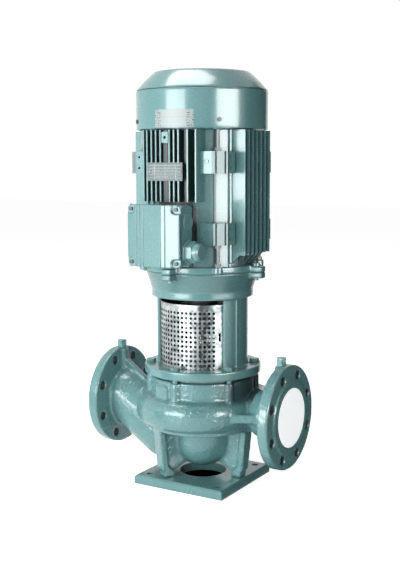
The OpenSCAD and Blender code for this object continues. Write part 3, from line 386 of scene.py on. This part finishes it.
def casing_painted_shade(x, y, z):
    """Painted shade on the wall above the outlet branch, behind its flange, and in the bolt holes
    of the flanges: eight on a 180 mm circle, the first 22.5 degrees from the top."""
    axis_level, bolt_circle, hole, half_step = 0.165, 0.09, 0.0105, np.radians(22.5)
    behind_flange = (x + y * 0.25).ramp(0.05, 0.095, 0.0, 0.8, smooth=True) * x.under(0.14)
    wall = behind_flange * z.ramp(0.185, 0.2)
    over_axis = z - axis_level
    off_circle = y.hypot(over_axis) - bolt_circle
    off_hole = (y.math("ARCTAN2", y, over_axis) - half_step).repeated(half_step) * bolt_circle
    in_hole = off_circle.hypot(off_hole).under(hole)
    in_flange = x.within(0.19, 0.2108) + x.within(-0.231, -0.2103)
    return wall.most(in_hole * in_flange * 0.95)


cast_enamel = enamel("cast_enamel", wave_mm=0.8, grain_mm=0.05, lump_mm=0.7, painted_shade_and_seam_mask=casing_painted_shade)
casting("pump_casing", cast_enamel, cell_mm=2.5, passes=6, keep=0.62)
for name in ("suction_gauge_plug", "discharge_gauge_plug"):
    softened(name, 0.6, cast_enamel)


# Cover disc
# A plain white plastic disc, let into the outlet's sealing face, keeps dirt out of the pump.
# painted glow: the disc's emission makes it glow a little, though it is no lamp
white, tree, shader, place = finish("white_plastic", (0.93, 0.95, 0.95), 0.25, IOR=1.5,
                                    Emission_Color=(0.93, 0.97, 0.97, 1), Emission_Strength=0.5)
patchy(tree, shader, place, 120.0, 0.18, 0.3)
dress(white, "outlet_cover")


# Impeller, its nut and the wear ring
# Bronze castings, turned on their running faces; the rest keeps the mould's matt skin.
bronze, tree, shader, place = finish("bronze", (0.45, 0.28, 0.12), 0.35, Metallic=1.0)
patchy(tree, shader, place, 150.0, 0.3, 0.5)
dress(bronze, "wear_ring", "impeller", "impeller_nut")


# Casing cover, gasket and shaft seal
# An iron cover closes the casing under a fibre gasket. It holds the ceramic seat; the sprung steel
# head turns with the shaft.
softened("casing_cover", 0.8, cast_enamel)
rubber, tree, shader, place = finish("gasket_rubber", (0.03, 0.03, 0.03), 0.7)
patchy(tree, shader, place, 300.0, 0.6, 0.85)
dress(rubber, "casing_gasket")
ceramic, tree, shader, place = finish("ceramic", (0.7, 0.67, 0.62), 0.15)
patchy(tree, shader, place, 300.0, 0.1, 0.2)
dress(ceramic, "seal_seat")
bright, tree, shader, place = finish("ground_steel", (0.62, 0.63, 0.64), 0.2, Metallic=1.0)
patchy(tree, shader, place, 200.0, 0.15, 0.28)
dress(bright, "seal_head", "seal_spring", "impeller_key", "pump_shaft")


# Lantern and its bolts
# The iron lantern carries the motor: a flange with six bolts, a shell with two windows, a ring and
# a cone. Inside it is painted dark as painted shade.
def lantern_painted_shade(x, y, z):
    """Painted shade: dark inside, and a little darker under the overhang of the cone and its ring.
    """
    inner_wall, foot, ring, cone = 0.0915, 0.264, 0.4095, 0.426
    inside = x.hypot(y).under(inner_wall) * z.over(foot) * 0.9
    return inside.most(z.ramp(cone, cone + 0.003) * 0.21 + z.over(ring) * 0.04)


lantern_enamel = enamel("lantern_enamel", wave_mm=0.35, grain_mm=0.05, painted_shade_and_seam_mask=lantern_painted_shade)
casting("lantern", lantern_enamel, cell_mm=1.8, passes=3, keep=0.6)
softened("lantern_bolts", 0.8, lantern_enamel)


# Bearing housing and pump bearing
# A turned iron housing in the lantern's foot with one ball bearing and four screws.
softened("bearing_housing", 0.8, lantern_enamel)
dress(steel, "housing_screws")
dress(bright, "pump_bearing_outer", "pump_bearing_inner")
dress(bronze, "pump_bearing_cage")


# Coupling
# Two dark iron halves with three claws each, and a red rubber spider between them.
iron, tree, shader, place = finish("bare_iron", (0.05, 0.052, 0.055), 0.5, Metallic=0.6)
patchy(tree, shader, place, 200.0, 0.4, 0.65)
dress(iron, "coupling_upper", "coupling_lower")
red, tree, shader, place = finish("spider_rubber", (0.06, 0.012, 0.01), 0.5)
patchy(tree, shader, place, 300.0, 0.4, 0.6)
dress(red, "coupling_spider")


# Perforated guards
# Galvanised steel sheet, punched with rows of round holes and bent to an arc. The zinc has the
# crystals of hot dip galvanising; a zone beside its plain edge is painted darker as a painted dark
# reflection, and its inside and the rims of its holes are painted black as painted shade.
zinc, tree, shader, place = finish("spangled_zinc", (0.62, 0.65, 0.65), 0.3, Metallic=0.6)
x, y, z = axes(tree)
crystals = node(tree, "TexVoronoi", {"feature": "F1"}, output=1, Vector=place, Scale=150.0)
shine = node(tree, "SeparateColor", Color=crystals)
smear = noise(tree, place, 28.0, 3.0)
bare = blend_colours(tree, shine * 0.6 + smear.ramp(0.35, 0.65) * 0.4,
                     (0.13, 0.155, 0.155), (0.58, 0.62, 0.62))

# turned is the angle from the middle of either guard
guard_r = 0.09
turned = x.math("ARCTAN2", x * (1 - y.over(0.0) * 2), abs(y))
# painted dark reflection: in a zone about 36 degrees from the middle of each guard the zinc is
# painted darker
painted_dark_reflection = abs(turned - np.radians(36)).ramp(np.radians(8), np.radians(13), 0.85, 0.0, smooth=True)
dull = blend_colours(tree, shine, (0.02, 0.035, 0.035), (0.16, 0.20, 0.20))
bare = blend_colours(tree, painted_dark_reflection, bare, dull)

# the rims of the holes are painted black as painted shade: 17 columns 6.2 degrees apart, rows every
# 10 mm
first_column, half_step = np.radians(45.7), np.radians(3.1)
first_row, half_pitch, rim_r = 0.2705, 0.005, 0.003
columns_middle, columns_half, top_row = np.radians(-3.9), np.radians(52.7), 0.384
off_column = (turned - first_column).repeated(half_step) * guard_r
off_row = (z - first_row).repeated(half_pitch)
in_columns = abs(turned - columns_middle).under(columns_half) * z.under(top_row)
painted_dark_rims = off_column.hypot(off_row).under(rim_r) * in_columns
# painted shade: the inside of the guard and the rims of its holes are painted black
painted_shade_parts = x.hypot(y).under(guard_r - 0.0003).most(painted_dark_rims)
plug(tree, shader.inputs["Base Color"],
     blend_colours(tree, painted_shade_parts, bare, (0.002, 0.003, 0.003)))
plug(tree, shader.inputs["Roughness"], shine.ramp(0, 1, 0.3, 0.42).most(painted_shade_parts * 0.9))
dress(zinc, "guard_front", "guard_rear")


# Motor shields and flange screws
# Cast iron end covers with the bearing seats. The drive end has a flange with four ears, screwed
# to the lantern; both are held to the frame with long studs and nuts.
motor_enamel = enamel("motor_enamel", wave_mm=0.12, grain_mm=0.03)
casting("de_shield", motor_enamel, cell_mm=1.8, passes=2, keep=0.6)
casting("nde_shield", motor_enamel, cell_mm=2.2, passes=2, keep=0.6)
softened("flange_screws", 0.7, motor_enamel)
stud_steel, tree, shader, place = finish("stud_steel", (0.42, 0.45, 0.46), 0.35, Metallic=0.8)
half_thread = 0.000625
threads = axes(tree)[2].repeated(half_thread)
patchy(tree, shader, place, 300.0, 0.3, 0.45)
bumps(tree, shader, threads * 0.6)
dress(stud_steel, "de_shield_screws", "nde_shield_screws")


# Motor frame
# Die cast frame: a barrel with fins on four sides, and eight corner blocks with tapped pads.
# Painted shade makes the gaps between the fins nearly black.
def fin_painted_shade(x, y, z):
    """Painted shade: up to 1 deep between the fins, 0 at their tips; in between on the first rib of
    each corner and on the flutes between the pads of its blocks, painted darker than their
    highlight."""
    finned, side_half, front_half, tips, depths = 0.105, 0.0525, 0.0635, 0.1298, 0.1262
    sides = abs(x).over(finned) * abs(y).under(side_half) * 0.7
    behind = y.over(finned) * abs(x).under(side_half) * 0.8
    front = y.under(-finned) * abs(x).under(front_half)
    gaps = abs(x).most(abs(y)).ramp(tips, depths, 0.0, 1.0) * (sides + behind + front)

    # turned is the angle within a quarter of the frame, 45 degrees being the corner
    turned = x.math("WRAP", x.math("ARCTAN2", y, x), np.radians(90), 0.0)
    far = x.hypot(y)
    on_rib = abs(turned - np.radians(43.5)).under(np.radians(1.15)) * far.within(0.1145, 0.1185)
    on_block = abs(turned - np.radians(45)).under(np.radians(7)) * far.over(0.12)
    return gaps.most(on_rib * 0.75).most(on_block * 0.45)


frame_enamel = enamel("frame_enamel", wave_mm=0.12, grain_mm=0.03, painted_shade_and_seam_mask=fin_painted_shade)
softened("motor_frame", 0.45, frame_enamel)


# Stator, rotor and motor shaft
# Stacks of dark sheet steel with lacquered copper windings; a ground steel shaft runs in two ball
# bearings, with a key for the coupling and a rubber ring against spray.
dress(iron, "stator_core", "rotor_core")
copper, tree, shader, place = finish("lacquered_copper", (0.42, 0.12, 0.03), 0.3, Metallic=0.5)
patchy(tree, shader, place, 300.0, 0.2, 0.4)
dress(copper, "stator_windings")
dress(bright, "motor_bearing_outers", "motor_bearing_inners", "motor_shaft")
dress(bronze, "motor_bearing_cages")
dress(steel, "wave_spring", "motor_key", "fan_circlip")
dress(rubber, "v_ring")


# Fan and fan cowl
# A black plastic fan under a cowl of pressed 2 mm sheet: a straight skirt, a seam, a slightly
# bulged cone and a flat top with rings of air slots. Four screws hold the cowl.
dark, tree, shader, place = finish("dark_plastic", (0.02, 0.021, 0.022), 0.45)
patchy(tree, shader, place, 300.0, 0.35, 0.55)
dress(dark, "fan")


def quad_sheet(grid, closed=False, keep=None):
    """Quads between the neighbours of a grid of points (rows, columns, 3), as an editable mesh.
    closed joins the last column to the first; keep marks the quads that stay."""
    index = np.arange(grid.shape[0] * grid.shape[1]).reshape(grid.shape[:2])
    beside = np.roll(index, -1, axis=1)
    quads = np.stack([index[:-1], index[1:], beside[1:], beside[:-1]], axis=-1)
    quads = quads if closed else quads[:, :-1]
    quads = quads.reshape(-1, 4) if keep is None else quads[keep]
    mesh = bpy.data.meshes.new("sheet")
    mesh.from_pydata(grid.reshape(-1, 3), [], quads)
    made = bmesh.new()
    made.from_mesh(mesh)
    bpy.data.meshes.remove(mesh)
    bmesh.ops.remove_doubles(made, verts=made.verts, dist=SEAM)
    loose = [corner for corner in made.verts if not corner.link_faces]
    bmesh.ops.delete(made, geom=loose, context="VERTS")
    return made


cowl_outer, cowl_flat = 0.1385, 0.100
skirt_foot, shoulder, cowl_top = 0.760, 0.8405, 0.878
slot_first, slot_width = 0.024, 0.006


def cowl_sheet():
    """The profile runs along u: out over the top with a ring at each slot edge, down the cone,
    whose straight line bulges by a sine of up to bulge, into the seam and down the skirt. It turns
    once round the shaft axis along v. The slots take 48 of each 60 degrees, staggered by 30."""
    bulge, sectors, last_ring, slot_free_rim = 0.0013, 120, cowl_flat - 0.002, 0.013
    slot_arc, slot_step, stagger = 48, 60, 30
    edges = np.arange(slot_first, last_ring, slot_width)
    t = np.linspace(0, 1, 12)
    rise, run = shoulder - cowl_top, cowl_outer - 0.0008 - cowl_flat
    off = bulge * np.sin(np.pi * t)
    length = np.hypot(rise, run)
    cone = np.stack([cowl_flat + run * t - off * rise / length,
                     cowl_top + rise * t + off * run / length])
    seam = np.array([[-0.0022, -0.0007], [-0.0022, -0.0019], [-0.0005, -0.0024], [0, -0.0034]])
    seam = (seam + [cowl_outer, shoulder]).T
    skirt = np.stack([np.full(6, cowl_outer), np.linspace(shoulder - 0.006, skirt_foot, 6)])
    flat = np.stack([np.r_[0, edges, last_ring], np.full(len(edges) + 2, cowl_top)])
    radius, level = np.concatenate([flat, cone, seam, skirt], axis=1)
    angle = np.arange(sectors) * 2 * np.pi / sectors
    grid = np.stack([radius[:, None] * np.cos(angle), radius[:, None] * np.sin(angle),
                     np.repeat(level[:, None], sectors, axis=1)], axis=-1)
    ring = np.rint((radius[:-1] - slot_first) / slot_width)[:, None]
    starts = radius[:-1, None]
    inside = (starts > slot_first - 0.001) & (starts < cowl_flat - slot_free_rim)
    inside = inside & (np.arange(len(starts))[:, None] < flat.shape[1] - 1)
    half_sector = 180 / sectors
    degree = (np.degrees(angle) + half_sector + np.where(ring % 4 == 0, 0, stagger)) % slot_step
    slot = inside & (ring % 2 == 0) & (degree < slot_arc)
    return quad_sheet(grid, closed=True, keep=~slot)


seam_middle, seam_half = shoulder - 0.0013, 0.0011
cowl_enamel = enamel("cowl_enamel", wave_mm=0.05, grain_mm=0.02,
                     painted_shade_and_seam_mask=lambda x, y, z: abs(z - seam_middle).under(seam_half) * 0.8)
cowl = shown(cowl_sheet(), "fan_cowl_sheet", cowl_enamel, "fan_cowl")
wall = cowl.modifiers.new("sheet_thickness", "SOLIDIFY")
wall.thickness, wall.offset = 0.002, -1
edge = cowl.modifiers.new("rolled_edges", "BEVEL")
edge.width, edge.segments, edge.limit_method = 0.0006, 2, "ANGLE"
edge.angle_limit = np.radians(50)
dress(steel, "cowl_screws")


# Terminal box and lid
# Die cast box on the frame, with a rubber gasket. The lid's face is two flat planes that meet at
# the right hand groove; it has five grooves and four corner pockets for the screws.
softened("terminal_box", 1.0, motor_enamel)
dress(rubber, "lid_gasket")
dress(dark, "terminal_board")

lid_half, lid_middle = 0.062, 0.548
lid_back, lid_peak = -0.183, -0.196
lid_corner, lid_edge = 0.008, 0.0022


def lid_shell():
    """Depth y over a grid of x and z. The face is two planes, y = peak + slope |x - ridge|. Narrow
    grooves and the corner pockets are cut into it, and a quarter circle rounds its rim. Points
    beyond the rounded outline are drawn in to it and form the side wall."""
    ridge, slope_left, slope_right = 0.021, np.tan(np.radians(4.4)), np.tan(np.radians(3.6))
    grooves = np.array([-0.038, -0.030, -0.021, 0.021, 0.031])
    groove_top, groove_floor, groove_depth = 0.0011, 0.0006, 0.0013
    lines = (grooves[:, None] + [-groove_top, -groove_floor, groove_floor, groove_top]).ravel()
    across = np.unique(np.round(np.r_[np.linspace(-lid_half, lid_half, 125), lines], 5))
    upward = np.linspace(lid_half, -lid_half, 125)
    spill = np.array([0.0005, 0.0015])
    across = np.r_[-lid_half - spill[::-1], across, lid_half + spill]
    upward = np.r_[lid_half + spill[::-1], upward, -lid_half - spill]
    x, z = np.meshgrid(across, upward)
    y = lid_peak + np.where(x < ridge, slope_left, slope_right) * abs(x - ridge)
    nearest = abs(x[..., None] - grooves).min(axis=-1)
    y = y + groove_depth * np.clip((groove_top - nearest) / (groove_top - groove_floor), 0, 1)

    # pockets: a round seat for the screw, open towards both sides of the corner
    screw_at, pocket_r, pocket_floor, blend = 0.053, 0.009, lid_back - 0.005, 0.0006
    away_x, away_z = abs(x) - screw_at, abs(z) - screw_at
    seat = np.hypot(np.minimum(away_x, 0), np.minimum(away_z, 0)) - pocket_r
    beside = np.where(away_z > 0, abs(away_x) - pocket_r, seat)
    seat = np.where(away_x > 0, abs(away_z) - pocket_r, beside)
    sunk = y + (pocket_floor - y) * np.clip((blend - seat) / (2 * blend), 0, 1)
    y = np.where(seat < blend, sunk, y)

    # rounded outline: beyond is the distance past it
    straight = lid_half - lid_corner
    cx, cz = np.maximum(abs(x) - straight, 0), np.maximum(abs(z) - straight, 0)
    beyond = np.hypot(cx, cz) + np.minimum(np.maximum(abs(x), abs(z)) - straight, 0) - lid_corner
    edge = (1 + np.minimum(beyond, 0) / lid_edge).clip(0)
    y = y + lid_edge * (1 - np.sqrt(np.clip(1 - edge ** 2, 0, 1)))
    y = np.where(beyond > 0.001, lid_back, y)
    pull = np.where(beyond > 0, lid_corner / np.maximum(np.hypot(cx, cz), 1e-9), 1)
    x = np.where(beyond > 0, np.sign(x) * (np.minimum(abs(x), straight) + cx * pull), x)
    z = np.where(beyond > 0, np.sign(z) * (np.minimum(abs(z), straight) + cz * pull), z)
    return quad_sheet(np.stack([x, y, z + lid_middle], axis=-1))


lid = shown(lid_shell(), "terminal_lid_shell", motor_enamel, "terminal_box_lid")
wall = lid.modifiers.new("lid_wall", "SOLIDIFY")
wall.thickness, wall.offset = 0.003, -1
dress(steel, "lid_screws")


# Cable gland, its cap and the blanking plug
# Moulded in polyamide of the motor's colour, screwed into the side of the box.
gland_nylon = enamel("gland_nylon", wave_mm=0.05, grain_mm=0.04, roughness=0.38)
for name in ("cable_gland", "gland_cap", "blanking_plug"):
    softened(name, 0.9, gland_nylon)


# Nameplate and rivets
# A thin grey plate on the fins with two rivets. Only fine lines and ticks are printed on it, as in
# an empty table.
plate, tree, shader, place = finish("plate_metal", (0.24, 0.30, 0.31), 0.45, IOR=1.45)
x, y, z = axes(tree)
middle_x, middle_z = -0.0095, 0.6735
half_wide, half_tall, half_row, half_column = 0.0375, 0.0155, 0.0031, 0.0125
along, upward = x - middle_x, z - middle_z
inside = abs(along).under(half_wide) * abs(upward).under(half_tall)
rows = upward.repeated(half_row).under(0.00042)
columns = along.repeated(half_column).under(0.0004)
between_rows = (upward + half_row).repeated(half_row).under(0.0009)
ticks = noise(tree, place, 520.0, 1.0).over(0.52) * between_rows
marks = rows.most(columns).most(ticks * abs(along).under(0.031)) * inside
plug(tree, shader.inputs["Base Color"],
     blend_colours(tree, marks, (0.10, 0.13, 0.134), (0.34, 0.40, 0.40)))
patchy(tree, shader, place, 300.0, 0.38, 0.52)
dress(plate, "nameplate")
dress(stud_steel, "nameplate_rivets")


# Cowl label
# A pale printed film on the skirt: bare but for short ticks along its two sides and thin lines.
LABEL_PALE = (0.32, 0.38, 0.38)
film, tree, shader, place = finish("label_film", LABEL_PALE, 0.35, IOR=1.45)
x, y, z = axes(tree)
label_turned, bare_half = np.radians(6), np.radians(11.5)
round_the_axis = x.math("ARCTAN2", x, y * -1.0)
beside = abs(round_the_axis - label_turned).over(bare_half)
ticks = noise(tree, place, 430.0, 1.0).over(0.55) * z.repeated(0.0025).under(0.0013) * beside
lines = (z - 0.764).repeated(0.0088).under(0.0003)
plug(tree, shader.inputs["Base Color"],
     blend_colours(tree, ticks.most(lines * 0.4), LABEL_PALE, (0.05, 0.08, 0.08)))
patchy(tree, shader, place, 300.0, 0.3, 0.42)
dress(film, "cowl_label")


# Look: colours are shown as they are, without a film look.
scene = bpy.context.scene
scene.view_settings.view_transform = "Standard"
